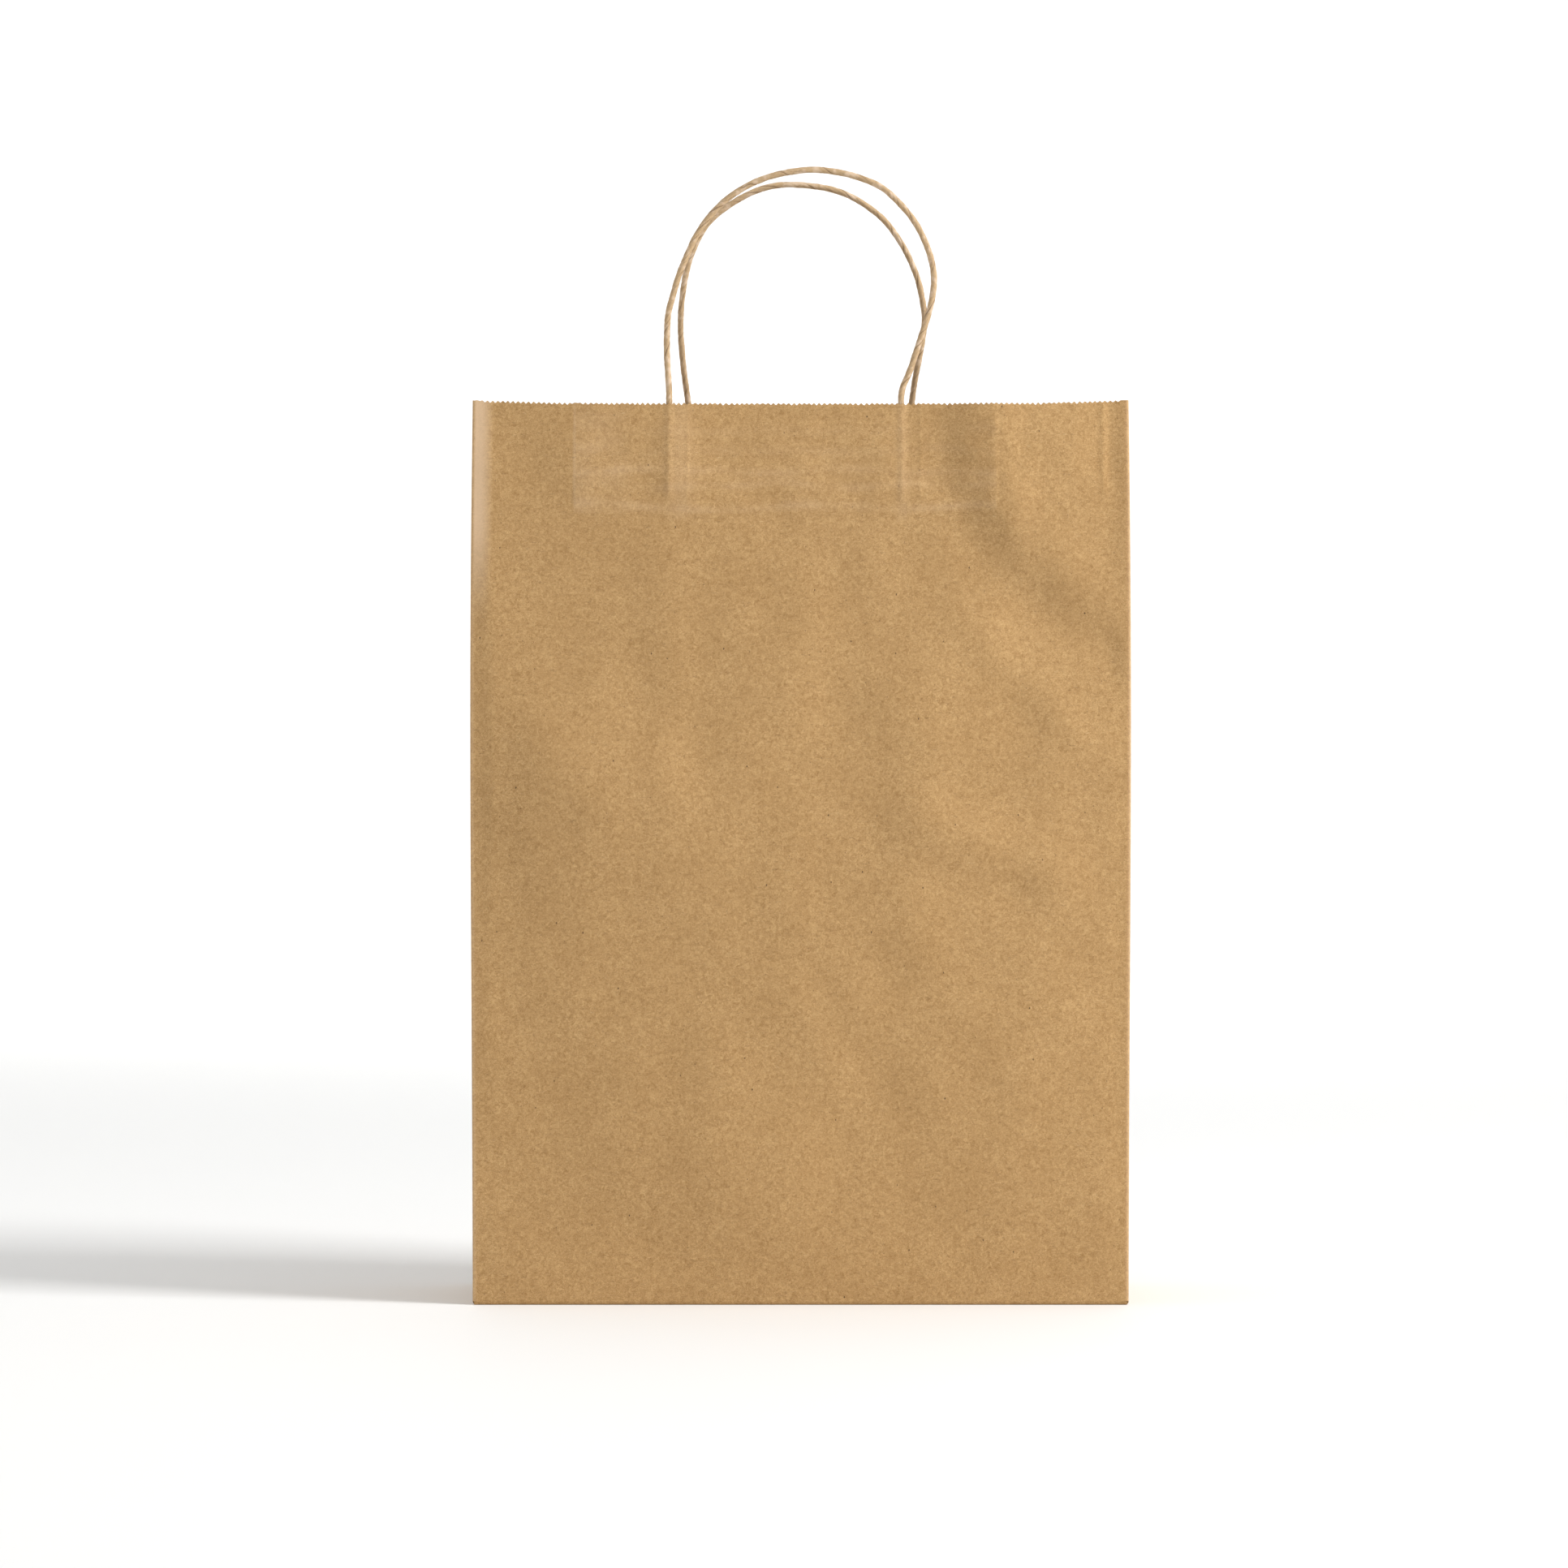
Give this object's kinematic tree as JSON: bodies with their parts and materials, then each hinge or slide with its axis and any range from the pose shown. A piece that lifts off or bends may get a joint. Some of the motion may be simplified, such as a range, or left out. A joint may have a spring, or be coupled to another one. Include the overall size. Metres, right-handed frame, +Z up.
{
  "type": "gift bag",
  "caption": "Standing kraft paper gift bag with a flat bottom, creased side gussets, a toothed open mouth and twisted paper cord handles.",
  "frame": {"origin": "under the middle of the bag, on the surface that it stands on", "axes": "+Z up, X across the bag's width, Y through its depth with the front panel facing -Y"},
  "size_m": [0.24, 0.086, 0.4202],
  "materials": {
    "kraft_paper": "uncoated brown kraft, matt, fine fibre flecks",
    "patch_paper": "uncoated brown kraft strip, matt",
    "paper_cord": "tightly twisted kraft paper, slight sheen on the ridges"
  },
  "bodies": {
    "front_shell": {"front_panel": "kraft_paper", "seam_flap": "kraft_paper", "bottom_front_flap": "kraft_paper", "bottom_back_flap": "kraft_paper", "left_bottom_tuck": "kraft_paper", "right_bottom_tuck": "kraft_paper", "front_patch_outer_ply": "patch_paper", "front_patch_inner_ply": "patch_paper", "front_handle_left_leg": "paper_cord", "front_handle_right_leg": "paper_cord"},
    "left_front_half": {"left_gusset_front": "kraft_paper"},
    "left_back_half": {"left_gusset_back": "kraft_paper"},
    "back_shell": {"back_panel": "kraft_paper", "rear_patch_outer_ply": "patch_paper", "rear_patch_inner_ply": "patch_paper", "rear_handle_left_leg": "paper_cord", "rear_handle_right_leg": "paper_cord"},
    "right_front_half": {"right_gusset_front": "kraft_paper"},
    "right_back_half": {"right_gusset_back": "kraft_paper"},
    "front_handle": {"front_handle_loop": "paper_cord"},
    "rear_handle": {"rear_handle_loop": "paper_cord"}
  },
  "joints": [
    {"name": "bag_fold", "type": "hinge", "parent": "front_shell", "child": "left_front_half", "pos_m": [-0.1197, -0.04235, 0], "axis": [0, 0, -1], "range_deg": [0, 84]},
    {"name": "left_gusset_crease", "type": "hinge", "parent": "left_front_half", "child": "left_back_half", "pos_m": [-0.12, 0.00017, 0], "axis": [0, 0, 1], "range_deg": [0, 168]},
    {"name": "back_left_crease", "type": "hinge", "parent": "left_back_half", "child": "back_shell", "pos_m": [-0.1197, 0.0427, 0], "axis": [0, 0, -1], "range_deg": [0, 84]},
    {"name": "front_right_crease", "type": "hinge", "parent": "front_shell", "child": "right_front_half", "pos_m": [0.1197, -0.04235, 0], "axis": [0, 0, 1], "range_deg": [0, 84]},
    {"name": "right_gusset_crease", "type": "hinge", "parent": "right_front_half", "child": "right_back_half", "pos_m": [0.12, 0.00017, 0], "axis": [0, 0, -1], "range_deg": [0, 168]},
    {"name": "front_handle_tilt", "type": "hinge", "parent": "front_shell", "child": "front_handle", "pos_m": [-0.0056, -0.0411, 0.334], "axis": [-1, 0, 0], "range_deg": [-120, 27]},
    {"name": "rear_handle_tilt", "type": "hinge", "parent": "back_shell", "child": "rear_handle", "pos_m": [0, 0.0411, 0.334], "axis": [-1, 0, 0], "range_deg": [-27, 120]}
  ],
  "couplings": [
    {"joint": "left_gusset_crease", "follows": "bag_fold", "ratio": 2},
    {"joint": "back_left_crease", "follows": "bag_fold", "ratio": 1},
    {"joint": "front_right_crease", "follows": "bag_fold", "ratio": 1},
    {"joint": "right_gusset_crease", "follows": "bag_fold", "ratio": 2}
  ]
}
